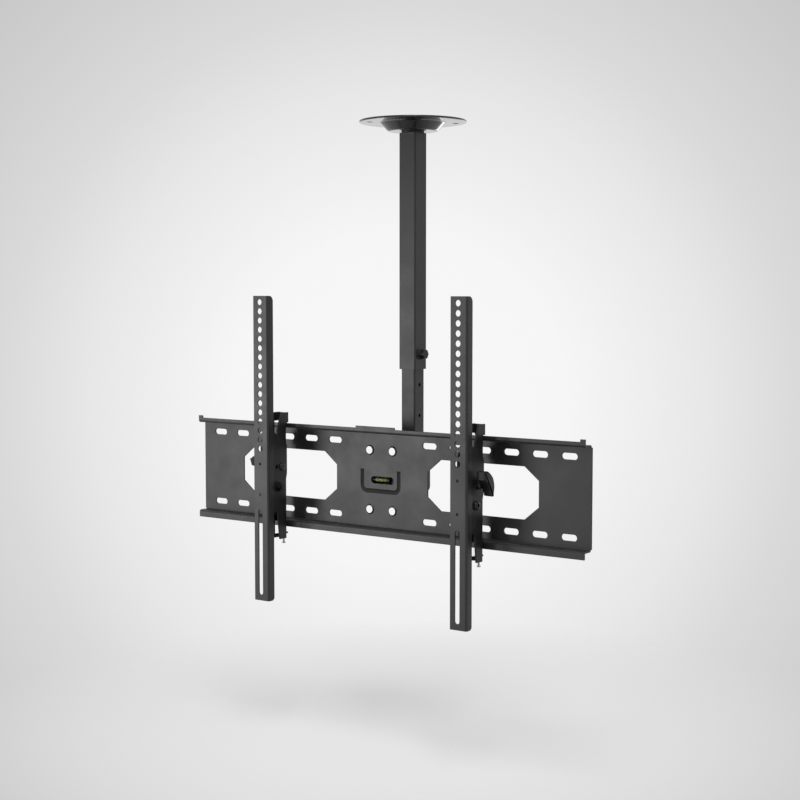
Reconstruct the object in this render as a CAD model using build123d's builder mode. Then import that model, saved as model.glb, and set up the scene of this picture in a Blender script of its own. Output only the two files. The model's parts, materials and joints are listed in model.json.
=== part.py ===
from build123d import *
import os
from math import atan2, cos, degrees, hypot, radians, sin

# TV ceiling mount: a domed ceiling plate, a telescoping square mast that swivels under it,
# a folded slotted hook plate, and two hangers that carry tilting arms for the screen.
# The origin is the centre of the ceiling plate's top face. +Z is up, the screen side is -Y.
# All sizes are in millimetres.

# Fits and clearances
running_gap = 0.08
bolt_gap = 0.3
slide_gap = 0.5
side_gap = 0.4
seat_gap = 0.2

# Ceiling plate
plate_d = 160.0
plate_t = 3.0
plate_edge_r = 1.0
plate_hole_d = 9.0
plate_hole_pcd = 130.0
plate_hole_count = 4
dome_top_d = 98.0
dome_floor_d = 74.0
dome_depth = 16.0
dome_bend_r = 5.0

# Swivel bolt under the dome, M10
swivel_d = 10.0
swivel_head_across = 17.0
swivel_head_h = 6.4
swivel_washer_d = 24.0
swivel_washer_t = 2.0
thrust_washer_d = 34.0
thrust_washer_t = 2.0
swivel_nut_h = 8.0
swivel_thread_out = 3.0

# Mast tubes
outer_side = 30.0
outer_wall = 2.0
outer_corner_r = 2.4
outer_length = 351.8
inner_wall = 2.0
inner_corner_r = 2.5
inner_overlap = 240.0
inner_below = 44.0
head_cap_t = 5.0
adjust_hole_d = 5.5
adjust_pitch = 46.3
adjust_holes_above = 4
adjust_holes_below = 3
plug_t = 3.0
plug_depth = 12.0
plug_fit = 0.1

# Clamp screw near the outer tube's lower end, M8
clamp_up = 22.7
clamp_d = 8.0
clamp_boss_d = 16.0
clamp_boss_h = 2.6
clamp_washer_d = 15.0
clamp_washer_t = 1.2
clamp_head_h = 5.2
hex_m8 = 13.0

# Hook plate, folded from one sheet
panel_w = 700.0
panel_front_y = -80.2
panel_z = -531.0
panel_half_h = 70.0
sheet = 2.5
fold_r = 1.0
rail_depth = 16.3
top_lip_h = 7.4
centre_tab_rise = 3.0
centre_tab_half_w = 35.0
end_tab_rise = 3.6
end_tab_w = 9.1
bottom_lip_h = 11.0
panel_corner_r = 1.0
rail_end_gap = 1.7
rail_end_relief = 1.0

# Openings of the hook plate
slot_l = 24.6
slot_w = 9.1
slot_first_x = 85.9
slot_end_gap = 34.1
slot_count = 6
slot_row = 55.4
window_in_x = 82.7
window_end_gap = 81.8
window_half_h = 37.0
window_cut_x = 23.0
window_cut_z = 18.7
collar_d = 11.2
collar_x = 20.7
collar_row = 44.0
collar_h = 1.8
collar_rim = 0.6
collar_taper = 36.0

# Pressed bead and slot for the spirit level, and the level behind them
level_x = 2.5
level_slot_l = 42.0
level_slot_w = 10.6
bead_x = -1.6
bead_half_w = 33.2
bead_top = 15.3
bead_bottom = -16.5
bead_w = 6.4
bead_depth = 2.6
bead_slope = 30.0
bead_wall = 0.6
bead_corner_r = 8.0
vial_d = 9.6
vial_bore_d = 6.6
vial_l = 30.0
vial_x = -3.0
vial_end_wall = 5.0
vial_gap = 0.3
fluid_gap = 0.05
bubble_l = 8.0
bubble_d = 3.6
holder_wall = 2.0

# Bracket halves between the mast and the hook plate
bracket_t = 4.0
bracket_fold_r = 4.0
bracket_foot_in = 42.0
bracket_foot_w = 24.0
bracket_bend_y = -32.0
bracket_base_h = 58.0
bracket_mast_h = 50.0
bracket_overhang = 10.0
bracket_corner_r = 8.0
mast_bolt_d = 8.0
mast_bolt_spread = 26.0
mast_washer_d = 16.0
mast_washer_t = 1.6
mast_head_h = 5.3
nut_m8_h = 6.5
thread_out = 2.5

# Screen arms
arm_centres = {"left": -175.4, "right": 180.0}
arm_w = 27.4
arm_sheet = 2.0
arm_fold_r = 1.0
arm_front = 66.0
arm_top = 270.9
arm_bottom = -188.7
arm_flange = 13.0
arm_top_r = 8.0
arm_bottom_r = 5.0
arm_hole_d = 9.0
arm_hole_pitch = 13.75
arm_hole_count = 17
arm_hole_below_top = 9.4
arm_hole_line = -2.0
arm_small_hole_d = 4.0
arm_small_holes = (18.5, -28.0)
arm_slot_top = -50.1
arm_slot_l = 130.1
arm_slot_w = 8.0

# Tilt plates welded inside the arms' flanges, as distances in front of and above the hook plate
tilt_plate_t = 2.0
tilt_plate_weld_gap = 0.5
tilt_plate_low = -64.0
tilt_plate_high = 68.0
tilt_plate_rear = 19.7
tilt_plate_rear_low = 1.0
tilt_plate_rear_high = 48.0
tilt_plate_heel = (27.0, -25.0)
tilt_plate_round = 13.0

# Tilt pivot, M8
pivot_front = 39.6
pivot_low = 17.2
pivot_d = 8.0
pivot_head_d = 13.0
pivot_head_h = 3.8
pivot_socket = 5.0
pivot_socket_depth = 2.2
pivot_washer_d = 16.0
pivot_washer_t = 1.2

# Tilt stud that runs in the hangers' arc slots, M8, and its knob
stud_back = 8.1
stud_up = 29.4
stud_d = 8.0
stud_head_d = 12.0
stud_head_h = 2.5
arc_slot_front = 9.0
arc_slot_gap = 0.3
tilt_back = 5.0
sight_hole_d = 6.5
sight_hole_turn = 23.3
knob_washer_d = 16.0
knob_washer_t = 1.5
knob_hub_d = 26.0
knob_hub_h = 9.0
knob_stand_off = 6.2
knob_wing_h = 13.9
knob_round = 0.8
knob_wing_r = 1.2
knob_wing = [
    (-20.5, 19.0), (-20.0, 8.0), (-10.0, 1.1), (-4.3, -6.4), (-1.9, -15.4), (3.0, -16.7),
    (5.0, -10.1), (5.9, -0.5), (2.0, 10.2), (-7.1, 18.0), (-13.5, 20.0),
]
knob_turns = {"left": 18.0, "right": 0.0}
stud_in_knob = 9.0

# Hangers that hook over the rails. Both front edges run as distances in front of the hook
# plate and above its middle; the edge under the tilt plate is the near one.
hanger_t = 2.5
hanger_half_w = 9.3
hanger_fold_r = 1.0
hanger_stand_off = 0.3
hanger_top = 94.0
hanger_bottom = -98.5
hanger_reach = 58.0
near_edge = [(29.0, 94.0), (38.5, 68.0), (40.0, 42.0), (52.0, 26.0), (52.0, -36.0),
             (38.5, -58.0), (33.5, -98.5)]
near_edge_r = 15.0
far_edge = [(31.0, 94.0), (56.5, 50.0), (56.5, -40.0), (42.0, -98.5)]
far_edge_r = 30.0
web_window_top = 42.0
web_window_bottom = 0.0
web_window_depth = 6.4
hook_w = 9.0
hook_slack = 1.0
hook_floor_gap = 0.8
hook_fold_r = 1.0
opening_w = 12.0
opening_h = 20.0
opening_above_hook = 1.0
opening_reach = 10.0
cheek_back = 3.4
cheek_above_lip = 1.2
latch_tab_w = 9.0
latch_tab_back = 5.0
latch_tab_low = 10.4

# Safety screw under the bottom rail, M3
latch_d = 3.0
latch_head_d = 6.0
latch_head_h = 2.0
latch_length = 24.5
latch_behind_lip = 0.65
latch_nut_across = 5.5
latch_nut_h = 2.4

# Places worked out from the sizes above
dome_floor_z = plate_t - dome_depth
mast_top_z = -dome_depth - thrust_washer_t - seat_gap
outer_bottom_z = mast_top_z - outer_length
outer_half = outer_side / 2
inner_side = outer_side - 2 * outer_wall - 2 * slide_gap
inner_half = inner_side / 2
inner_top_z = outer_bottom_z + inner_overlap
inner_bottom_z = panel_z - inner_below
inner_length = inner_top_z - inner_bottom_z
clamp_z = outer_bottom_z + clamp_up
slot_pitch = (panel_w / 2 - slot_end_gap - slot_first_x) / (slot_count - 1)
window_out_x = panel_w / 2 - window_end_gap
panel_back_y = panel_front_y + sheet
lip_front_y = panel_front_y - rail_depth
lip_mid_y = lip_front_y + sheet / 2
rail_mid = panel_half_h + sheet / 2
shelf_top_z = panel_z + panel_half_h + sheet
top_lip_z = panel_z + panel_half_h + top_lip_h
bottom_lip_z = panel_z - panel_half_h - bottom_lip_h
vial_y = panel_back_y + vial_gap + vial_d / 2
arm_front_y = panel_front_y - arm_front
pivot_y = panel_front_y - pivot_front
pivot_z = panel_z - pivot_low
stud_y = pivot_y + stud_back
stud_z = pivot_z + stud_up
stud_r = hypot(stud_back, stud_up)
stud_angle = degrees(atan2(stud_up, stud_back))
arc_start = stud_angle - tilt_back
arc_sweep = 90 + arc_slot_front - arc_start
ear_x = arm_w / 2
flange_y = arm_front_y + arm_flange
tilt_out_x = ear_x - arm_sheet
tilt_in_x = tilt_out_x - tilt_plate_t
tilt_front_y = arm_front_y + arm_sheet + arm_fold_r + tilt_plate_weld_gap
hanger_back_y = lip_front_y - hanger_stand_off
latch_y = lip_mid_y + latch_behind_lip
hook_mid_z = top_lip_z + seat_gap + hanger_t / 2
latch_tab_z = bottom_lip_z - latch_tab_low

os.makedirs("parts", exist_ok=True)


def side_plane(x, y, z, way=1):
    """A plane at a point whose normal looks along +X or, with way -1, along -X."""
    return Plane(origin=(x, y, z), x_dir=(0, way, 0), z_dir=(way, 0, 0))


def save(part, name):
    part.label = name
    export_step(part, f"parts/{name}.step")


def washer(plane, outer_d, inner_d, thickness):
    """A flat washer that grows from the plane along its normal."""
    with BuildPart() as ring:
        with BuildSketch(plane):
            Circle(outer_d / 2)
            Circle(inner_d / 2, mode=Mode.SUBTRACT)
        extrude(amount=thickness)
    return ring.part


def hex_nut(plane, across, bore_d, height):
    """A chamfered hexagon nut that grows from the plane along its normal."""
    with BuildPart() as nut:
        with BuildSketch(plane):
            RegularPolygon(radius=across / 2, side_count=6, major_radius=False)
        extrude(amount=height)
        with BuildSketch(plane):
            Circle(across * 0.56)
        extrude(amount=height, mode=Mode.INTERSECT)
        with BuildSketch(plane):
            Circle(bore_d / 2)
        extrude(amount=height, mode=Mode.SUBTRACT)
    return nut.part


def hex_bolt(plane, across, head_h, shank_d, shank_l):
    """A hexagon bolt: the head grows from the plane, the shank runs back against its normal."""
    with BuildPart() as bolt:
        with BuildSketch(plane):
            RegularPolygon(radius=across / 2, side_count=6, major_radius=False)
        extrude(amount=head_h)
        with BuildSketch(plane):
            Circle(across * 0.56)
        extrude(amount=head_h, mode=Mode.INTERSECT)
        with BuildSketch(plane):
            Circle(shank_d / 2)
        extrude(amount=-shank_l)
    return bolt.part


def round_bolt(plane, head_d, head_h, shank_d, shank_l, socket=0.0, socket_depth=0.0):
    """A button-head bolt: the domed head grows from the plane, the shank runs back."""
    with BuildPart() as bolt:
        with BuildSketch(plane):
            Circle(head_d / 2)
        extrude(amount=head_h)
        fillet(bolt.edges().filter_by(GeomType.CIRCLE).sort_by(Axis(plane.origin, plane.z_dir))[-1],
               radius=head_h * 0.7)
        if socket:
            with BuildSketch(plane.offset(head_h)):
                RegularPolygon(radius=socket / 2, side_count=6, major_radius=False)
            extrude(amount=-socket_depth, mode=Mode.SUBTRACT)
        with BuildSketch(plane):
            Circle(shank_d / 2)
        extrude(amount=-shank_l)
    return bolt.part


# Ceiling plate: a disc with a dome pressed down, bored for the swivel bolt
with BuildPart() as ceiling_plate:
    with BuildSketch(Plane.XZ):
        with BuildLine():
            FilletPolyline(
                (swivel_d / 2 + running_gap, -dome_depth),
                (dome_floor_d / 2, -dome_depth),
                (dome_top_d / 2, -plate_t),
                (plate_d / 2, -plate_t),
                radius=dome_bend_r,
            )
            offset(amount=plate_t, side=Side.LEFT)
        make_face()
    revolve(axis=Axis.Z)
    fillet(ceiling_plate.edges().filter_by(GeomType.CIRCLE).sort_by(SortBy.RADIUS)[-2:],
           radius=plate_edge_r)
    with BuildSketch(Plane.XY):
        with PolarLocations(plate_hole_pcd / 2, plate_hole_count, start_angle=45):
            Circle(plate_hole_d / 2)
    extrude(amount=-plate_t, mode=Mode.SUBTRACT)
save(ceiling_plate.part, "ceiling_plate")

# Swivel joint: washer on the dome floor, bolt, plastic thrust washer, mast head and nut
swivel_bore = swivel_d + 2 * running_gap
washer_top_z = dome_floor_z + swivel_washer_t
head_z = washer_top_z + seat_gap
nut_top_z = mast_top_z - head_cap_t
save(washer(Plane.XY.offset(dome_floor_z), swivel_washer_d, swivel_bore, swivel_washer_t),
     "swivel_washer")
save(washer(Plane.XY.offset(-dome_depth - thrust_washer_t), thrust_washer_d, swivel_bore,
            thrust_washer_t), "thrust_washer")
save(hex_bolt(Plane.XY.offset(head_z), swivel_head_across, swivel_head_h, swivel_d,
              head_z - nut_top_z + swivel_nut_h + swivel_thread_out), "swivel_bolt")
save(hex_nut(Plane.XY.offset(nut_top_z - swivel_nut_h), swivel_head_across, swivel_bore,
             swivel_nut_h), "swivel_nut")
with BuildPart() as mast_head:
    with BuildSketch(Plane.XY.offset(mast_top_z)):
        RectangleRounded(outer_side - 2 * outer_wall - 2 * plug_fit,
                         outer_side - 2 * outer_wall - 2 * plug_fit,
                         outer_corner_r - outer_wall)
        Circle(swivel_bore / 2, mode=Mode.SUBTRACT)
    extrude(amount=-head_cap_t)
save(mast_head.part, "mast_head")

# Outer mast tube with the clamp screw's hole in its right side
with BuildPart() as outer_tube:
    with BuildSketch(Plane.XY.offset(outer_bottom_z)):
        RectangleRounded(outer_side, outer_side, outer_corner_r)
        RectangleRounded(outer_side - 2 * outer_wall, outer_side - 2 * outer_wall,
                         outer_corner_r - outer_wall, mode=Mode.SUBTRACT)
    extrude(amount=outer_length)
    with BuildSketch(Plane.YZ.offset(outer_half)):
        with Locations((0, clamp_z)):
            Circle(clamp_d / 2 + running_gap)
    extrude(amount=-outer_wall, mode=Mode.SUBTRACT)
save(outer_tube.part, "outer_tube")

# Clamp screw: a weld boss on the tube, a washer and a screw whose tip stops at the inner tube
clamp_head_x = outer_half + clamp_boss_h + clamp_washer_t
boss_plane = side_plane(outer_half, 0, clamp_z)
save(washer(boss_plane, clamp_boss_d, clamp_d + 2 * running_gap, clamp_boss_h), "clamp_boss")
save(washer(boss_plane.offset(clamp_boss_h), clamp_washer_d, clamp_d + 2 * running_gap,
            clamp_washer_t), "clamp_washer")
save(hex_bolt(boss_plane.offset(clamp_boss_h + clamp_washer_t), hex_m8, clamp_head_h, clamp_d,
              clamp_head_x - inner_half - bolt_gap), "clamp_screw")

# Inner mast tube: height holes through both sides, and the bracket's two bolt holes
height_rows = [clamp_z + row * adjust_pitch
               for row in range(-adjust_holes_below, adjust_holes_above + 1)]
mast_bolt_rows = [panel_z - mast_bolt_spread / 2, panel_z + mast_bolt_spread / 2]
with BuildPart() as inner_tube:
    with BuildSketch(Plane.XY.offset(inner_bottom_z)):
        RectangleRounded(inner_side, inner_side, inner_corner_r)
        RectangleRounded(inner_side - 2 * inner_wall, inner_side - 2 * inner_wall,
                         inner_corner_r - inner_wall, mode=Mode.SUBTRACT)
    extrude(amount=inner_length)
    with BuildSketch(Plane.YZ):
        with Locations(*[(0, row) for row in height_rows]):
            Circle(adjust_hole_d / 2)
        with Locations(*[(0, row) for row in mast_bolt_rows]):
            Circle(mast_bolt_d / 2 + bolt_gap)
    extrude(amount=inner_half, both=True, mode=Mode.SUBTRACT)
save(inner_tube.part, "inner_tube")

# Plastic plugs that close the inner tube's two ends
plug_side = inner_side - 2 * inner_wall - 2 * plug_fit
for plug_name, end_z, outward in (("top_plug", inner_top_z, 1), ("foot_plug", inner_bottom_z, -1)):
    with BuildPart() as plug:
        with BuildSketch(Plane.XY.offset(end_z)):
            RectangleRounded(inner_side, inner_side, inner_corner_r)
        extrude(amount=outward * plug_t)
        with BuildSketch(Plane.XY.offset(end_z)):
            RectangleRounded(plug_side, plug_side, inner_corner_r - inner_wall)
        extrude(amount=-outward * plug_depth)
    save(plug.part, plug_name)

# Bracket halves: each is folded from flat bar, its foot welded to the hook plate's back
half_bar = bracket_t / 2
with BuildPart() as bracket_right:
    with BuildSketch(Plane.XY.offset(panel_z)):
        with BuildLine():
            FilletPolyline(
                (bracket_foot_in + bracket_foot_w, panel_back_y + half_bar),
                (bracket_foot_in, panel_back_y + half_bar),
                (inner_half + half_bar, bracket_bend_y),
                (inner_half + half_bar, inner_half + bracket_overhang),
                radius=bracket_fold_r + half_bar,
            )
        trace(line_width=bracket_t)
    extrude(amount=bracket_base_h / 2, both=True)
    with BuildSketch(Plane.YZ):
        with Locations((0, panel_z)):
            Polygon(
                (panel_back_y, -bracket_base_h / 2),
                (panel_back_y + bracket_t + 1, -bracket_base_h / 2),
                (bracket_bend_y, -bracket_mast_h / 2),
                (inner_half + bracket_overhang, -bracket_mast_h / 2),
                (inner_half + bracket_overhang, bracket_mast_h / 2),
                (bracket_bend_y, bracket_mast_h / 2),
                (panel_back_y + bracket_t + 1, bracket_base_h / 2),
                (panel_back_y, bracket_base_h / 2),
                align=None,
            )
    extrude(amount=bracket_foot_in + bracket_foot_w, mode=Mode.INTERSECT)
    fillet(bracket_right.edges().filter_by(Axis.X).group_by(Axis.Y)[-1], radius=bracket_corner_r)
    fillet(bracket_right.edges().filter_by(Axis.Y).group_by(Axis.X)[-1], radius=bracket_corner_r)
    with BuildSketch(Plane.YZ):
        with Locations(*[(0, row) for row in mast_bolt_rows]):
            Circle(mast_bolt_d / 2 + bolt_gap)
    extrude(amount=inner_half + bracket_t, mode=Mode.SUBTRACT)
save(bracket_right.part, "bracket_right")
save(mirror(bracket_right.part, about=Plane.YZ), "bracket_left")

# Two bolts through the bracket halves and the inner tube, with washers and nuts
bracket_out = inner_half + bracket_t
mast_bolts, mast_washers, mast_nuts = [], [], []
for row in mast_bolt_rows:
    right_face = side_plane(bracket_out, 0, row)
    left_face = side_plane(-bracket_out, 0, row, way=-1)
    for face in (right_face, left_face):
        mast_washers.append(washer(face, mast_washer_d, mast_bolt_d + 2 * bolt_gap, mast_washer_t))
    mast_bolts.append(hex_bolt(right_face.offset(mast_washer_t), hex_m8, mast_head_h, mast_bolt_d,
                               2 * bracket_out + 2 * mast_washer_t + nut_m8_h + thread_out))
    mast_nuts.append(hex_nut(left_face.offset(mast_washer_t), hex_m8,
                             mast_bolt_d + 2 * running_gap, nut_m8_h))
save(Compound(children=mast_bolts), "mast_bolts")
save(Compound(children=mast_washers), "mast_washers")
save(Compound(children=mast_nuts), "mast_nuts")

# Hook plate: one sheet folded into a top rail that turns up and a bottom rail that turns down
half_sheet = sheet / 2
slot_xs = [side * (slot_first_x + slot_pitch * n) for n in range(slot_count) for side in (-1, 1)]
front_plane = Plane.XZ.offset(-panel_front_y)
lip_plane = Plane.XZ.offset(-lip_front_y)
end_tab_in = panel_w / 2 - end_tab_w
with BuildPart() as hook_plate:
    with BuildSketch(Plane.YZ):
        with BuildLine():
            FilletPolyline(
                (lip_mid_y, top_lip_z + end_tab_rise),
                (lip_mid_y, panel_z + rail_mid),
                (panel_front_y + half_sheet, panel_z + rail_mid),
                (panel_front_y + half_sheet, panel_z - rail_mid),
                (lip_mid_y, panel_z - rail_mid),
                (lip_mid_y, bottom_lip_z),
                radius=fold_r + half_sheet,
            )
        trace(line_width=sheet)
    extrude(amount=panel_w / 2, both=True)
    # The top lip is cut down between the tabs that keep the hangers on their halves
    with BuildSketch(lip_plane):
        for side in (-1, 1):
            with Locations((side * (centre_tab_half_w + end_tab_in) / 2,
                            top_lip_z + end_tab_rise)):
                Rectangle(end_tab_in - centre_tab_half_w, 2 * end_tab_rise)
        with Locations((0, top_lip_z + centre_tab_rise + end_tab_rise)):
            Rectangle(2 * centre_tab_half_w, 2 * end_tab_rise)
    extrude(amount=-sheet, mode=Mode.SUBTRACT)
    fillet(hook_plate.edges().filter_by(Axis.Y).group_by(Axis.Z)[0], radius=panel_corner_r)
    # Both rails stop a little short of the sheet's ends
    for side in (-1, 1):
        with BuildSketch(side_plane(side * (panel_w / 2 - rail_end_gap), 0, panel_z, way=side)):
            for up in (-1, 1):
                Polygon(
                    (side * (panel_front_y - rail_depth - 1), up * (panel_half_h + 2 * rail_depth)),
                    (side * (panel_back_y + 1), up * (panel_half_h + 2 * rail_depth)),
                    (side * (panel_back_y + 1), up * (panel_half_h - rail_end_relief)),
                    (side * (panel_front_y - rail_depth - 1), up * (panel_half_h - rail_end_relief)),
                    align=None,
                )
        extrude(amount=2 * rail_end_gap, mode=Mode.SUBTRACT)
    # Slot rows, the two octagonal windows and the level's slot
    with BuildSketch(front_plane):
        with Locations(*[(x, panel_z + row) for x in slot_xs for row in (-slot_row, slot_row)]):
            SlotOverall(slot_l, slot_w)
        for side in (-1, 1):
            near, far = side * window_in_x, side * window_out_x
            cut = side * window_cut_x
            side_h = window_half_h - window_cut_z
            with Locations((0, panel_z)):
                Polygon(
                    (near, -side_h), (near, side_h),
                    (near + cut, window_half_h), (far - cut, window_half_h),
                    (far, side_h), (far, -side_h),
                    (far - cut, -window_half_h), (near + cut, -window_half_h),
                    align=None,
                )
        with Locations((level_x, panel_z)):
            SlotOverall(level_slot_l, level_slot_w)
    extrude(amount=-sheet, mode=Mode.SUBTRACT)
    # Flared collars of the four round holes
    collar_spots = [(x, panel_z + z) for x in (-collar_x, collar_x) for z in (-collar_row, collar_row)]
    with BuildSketch(front_plane.offset(collar_h)):
        with Locations(*collar_spots):
            Circle(collar_d / 2 + collar_rim)
    extrude(amount=-collar_h, taper=-collar_taper)
    with BuildSketch(front_plane.offset(collar_h)):
        with Locations(*collar_spots):
            Circle(collar_d / 2)
    extrude(amount=-collar_h - sheet, taper=-collar_taper, mode=Mode.SUBTRACT)
    # Pressed bead around the level: a raised band behind the sheet, then its groove in front
    bead_line = [
        (bead_x - bead_half_w, panel_z + bead_top), (bead_x - bead_half_w, panel_z + bead_bottom),
        (bead_x + bead_half_w, panel_z + bead_bottom), (bead_x + bead_half_w, panel_z + bead_top),
    ]
    for plane, width, slope, how in (
        (Plane.XZ.offset(-panel_back_y), bead_w + 2 * bead_wall, bead_slope, Mode.ADD),
        (front_plane, bead_w, bead_slope, Mode.SUBTRACT),
    ):
        with BuildSketch(plane):
            with BuildLine():
                FilletPolyline(*bead_line, radius=bead_corner_r)
            trace(line_width=width)
        extrude(amount=-bead_depth, taper=slope, mode=how)
save(hook_plate.part, "hook_plate")

# Spirit level: a black holder behind the slot, a clear vial in its trough, fluid with a bubble
holder_plane = Plane.XZ.offset(-panel_back_y)
vial_axis = side_plane(vial_x - vial_l / 2, vial_y, panel_z)
with BuildPart() as level_holder:
    with BuildSketch(holder_plane):
        with Locations((level_x, panel_z)):
            RectangleRounded(level_slot_l + 2 * holder_wall,
                             vial_d + 2 * vial_gap + 2 * holder_wall, holder_wall)
    extrude(amount=-vial_d - 2 * vial_gap - holder_wall)
    with BuildSketch(vial_axis.offset(-vial_gap)):
        Circle(vial_d / 2 + vial_gap)
    extrude(amount=vial_l + 2 * vial_gap, mode=Mode.SUBTRACT)
    with BuildSketch(holder_plane):
        with Locations((level_x, panel_z)):
            Rectangle(level_slot_l, vial_d + 2 * vial_gap)
    extrude(amount=-vial_d / 2 - vial_gap, mode=Mode.SUBTRACT)
save(level_holder.part, "level_holder")
with BuildPart() as level_vial:
    with BuildSketch(vial_axis):
        Circle(vial_d / 2)
    extrude(amount=vial_l)
    with BuildSketch(vial_axis.offset(vial_end_wall)):
        Circle(vial_bore_d / 2)
    extrude(amount=vial_l - 2 * vial_end_wall, mode=Mode.SUBTRACT)
save(level_vial.part, "level_vial")
with BuildPart() as level_fluid:
    with BuildSketch(vial_axis.offset(vial_end_wall + fluid_gap)):
        Circle(vial_bore_d / 2 - fluid_gap)
    extrude(amount=vial_l - 2 * vial_end_wall - 2 * fluid_gap)
    with BuildSketch(side_plane(vial_x - bubble_l / 2, vial_y, panel_z + vial_bore_d / 2)):
        Circle(bubble_d / 2)
    extrude(amount=bubble_l, mode=Mode.SUBTRACT)
save(level_fluid.part, "level_fluid")

# Outlines shared by the two sides, seen from the right: local x is +Y and local y is +Z
rear_y = panel_front_y - tilt_plate_rear
tilt_outline = [
    (tilt_front_y, tilt_plate_low), (flange_y, tilt_plate_low),
    (panel_front_y - tilt_plate_heel[0], tilt_plate_heel[1]),
    (rear_y, tilt_plate_rear_low), (rear_y, tilt_plate_rear_high),
    (flange_y, tilt_plate_high), (tilt_front_y, tilt_plate_high),
]
hook_back_y = lip_front_y + sheet + hook_slack + hanger_t / 2
web_mid_y = hanger_back_y - hanger_t / 2
plate_x = hanger_half_w - hanger_t / 2
opening_top_z = hook_mid_z + hanger_t / 2 + opening_above_hook
latch_open_low = latch_tab_z - hanger_t / 2
cheek_low = top_lip_z - panel_z + cheek_above_lip
bolt_span = tilt_out_x + hanger_half_w + seat_gap

for side_name, arm_x in arm_centres.items():
    out = 1 if arm_x > 0 else -1

    # Hanger: a channel folded from sheet
    with BuildPart() as hanger:
        with BuildSketch(Plane.XY.offset(panel_z + hanger_bottom)):
            with BuildLine():
                FilletPolyline(
                    (arm_x - plate_x, panel_front_y - hanger_reach),
                    (arm_x - plate_x, web_mid_y),
                    (arm_x + plate_x, web_mid_y),
                    (arm_x + plate_x, panel_front_y - hanger_reach),
                    radius=hanger_fold_r + hanger_t / 2,
                )
            trace(line_width=hanger_t)
        extrude(amount=hanger_top - hanger_bottom)
        # The front edges of its two side plates
        for edge, edge_r, way in ((near_edge, near_edge_r, 1), (far_edge, far_edge_r, -1)):
            front = panel_front_y - hanger_reach - 1
            with BuildSketch(side_plane(arm_x, 0, panel_z)) as cut:
                Polygon(
                    (front, hanger_bottom), *[(panel_front_y - f, z) for f, z in reversed(edge)],
                    (front, hanger_top), align=None,
                )
                fillet([v for v in cut.vertices() if hanger_bottom + 1 < v.Y < hanger_top - 1],
                       radius=edge_r)
            extrude(amount=way * hanger_half_w, mode=Mode.SUBTRACT)
        # Cheeks of the side plates that reach back over the top rail's lip
        for plane in (side_plane(arm_x - hanger_half_w, 0, panel_z),
                      side_plane(arm_x + hanger_half_w - hanger_t, 0, panel_z)):
            with BuildSketch(plane):
                Polygon(
                    (hanger_back_y + cheek_back, cheek_low), (web_mid_y, cheek_low),
                    (web_mid_y - 2 * hanger_t, hanger_top), (hanger_back_y + cheek_back, hanger_top),
                    align=None,
                )
            extrude(amount=hanger_t)
        # Openings in the web: under the hook, over the lower tab, and one behind the stud's slot.
        # The first two run on into the rear of the left side plate.
        left_part = hanger_half_w - opening_w / 2
        for low in (opening_top_z - opening_h, latch_open_low):
            with BuildSketch(Plane.XZ.offset(-hanger_back_y)):
                with Locations((arm_x, low + opening_h / 2)):
                    Rectangle(opening_w, opening_h)
            extrude(amount=hanger_t, mode=Mode.SUBTRACT)
            with BuildSketch(Plane.XZ.offset(-hanger_back_y - cheek_back)):
                with Locations((arm_x - opening_w / 2 - left_part / 2, low + opening_h / 2)):
                    Rectangle(left_part, opening_h)
            extrude(amount=opening_reach + cheek_back, mode=Mode.SUBTRACT)
        with BuildSketch(Plane.XZ.offset(-hanger_back_y)):
            with Locations((arm_x, panel_z + (web_window_top + web_window_bottom) / 2)):
                Rectangle(2 * hanger_half_w, web_window_top - web_window_bottom)
        extrude(amount=web_window_depth, mode=Mode.SUBTRACT)
        # Hook tongue over the top rail and tab under the bottom rail, both bent out of the web
        with BuildSketch(Plane.YZ.offset(arm_x)):
            with BuildLine():
                FilletPolyline(
                    (web_mid_y, opening_top_z + hanger_t),
                    (web_mid_y, hook_mid_z),
                    (hook_back_y, hook_mid_z),
                    (hook_back_y, shelf_top_z + hook_floor_gap),
                    radius=hook_fold_r + hanger_t / 2,
                )
            trace(line_width=hanger_t)
        extrude(amount=hook_w / 2, both=True)
        with BuildSketch(Plane.YZ.offset(arm_x)):
            with BuildLine():
                FilletPolyline(
                    (web_mid_y, latch_open_low - hanger_t),
                    (web_mid_y, latch_tab_z),
                    (latch_y + latch_tab_back, latch_tab_z),
                    radius=hook_fold_r + hanger_t / 2,
                )
            trace(line_width=hanger_t)
        extrude(amount=latch_tab_w / 2, both=True)
        with BuildSketch(Plane.XY.offset(latch_tab_z)):
            with Locations((arm_x, latch_y)):
                Circle(latch_d / 2 + running_gap)
        extrude(amount=hanger_t, both=True, mode=Mode.SUBTRACT)
        # Pivot hole and the arc slot that the tilt stud runs in
        with BuildSketch(side_plane(arm_x - hanger_half_w, pivot_y, pivot_z)):
            Circle(pivot_d / 2 + running_gap)
            with BuildLine():
                CenterArc((0, 0), stud_r, arc_start, arc_sweep)
            trace(line_width=stud_d + 2 * arc_slot_gap)
            with PolarLocations(stud_r, 2, start_angle=arc_start, angular_range=arc_sweep,
                                endpoint=True):
                Circle(stud_d / 2 + arc_slot_gap)
        extrude(amount=2 * hanger_half_w, mode=Mode.SUBTRACT)
    save(hanger.part, f"hanger_{side_name}")

    # Safety screw up through the lower tab until its tip blocks the bottom rail
    latch_head_z = bottom_lip_z - bolt_gap - latch_length
    save(round_bolt(Plane(origin=(arm_x, latch_y, latch_head_z), x_dir=(1, 0, 0), z_dir=(0, 0, -1)),
                    latch_head_d, latch_head_h, latch_d, latch_length), f"latch_screw_{side_name}")
    save(hex_nut(Plane(origin=(arm_x, latch_y, latch_tab_z + hanger_t / 2), x_dir=(1, 0, 0),
                       z_dir=(0, 0, 1)), latch_nut_across, latch_d + 2 * running_gap, latch_nut_h),
         f"latch_nut_{side_name}")

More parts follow.
